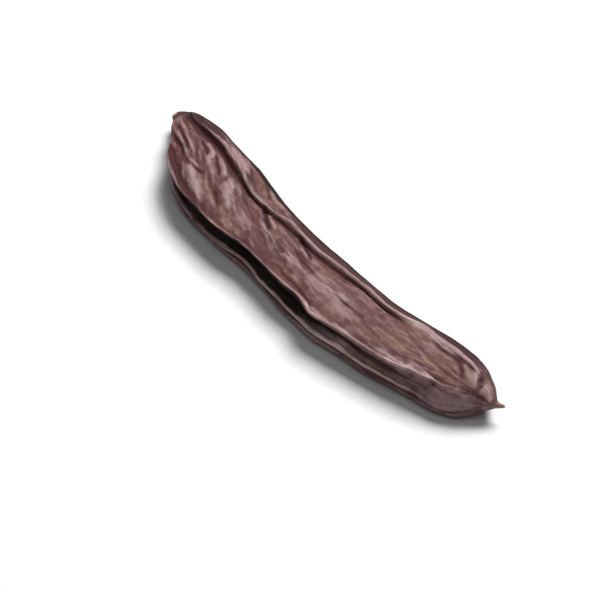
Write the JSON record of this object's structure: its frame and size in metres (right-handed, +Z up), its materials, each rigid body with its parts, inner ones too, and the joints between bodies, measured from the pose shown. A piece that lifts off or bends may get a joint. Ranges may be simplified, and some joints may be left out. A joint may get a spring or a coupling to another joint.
{
  "type": "carob pod",
  "caption": "Whole dried carob pod, long, flat and slightly bowed, with thick ridged margins, wrinkled leathery faces, a stalk scar and a short beak.",
  "frame": {"origin": "centre of the pod's box in plan, on the surface that it lies on", "axes": "+X along the pod from the stalk scar to the beak, +Y across towards the straight margin, +Z up through the thickness"},
  "size_m": [0.1312, 0.0248, 0.01],
  "materials": {
    "pod_skin": "dry, wrinkled, dark purple-brown husk with a dull waxy sheen"
  },
  "bodies": {
    "root": {"carob_pod": "pod_skin"}
  },
  "joints": []
}
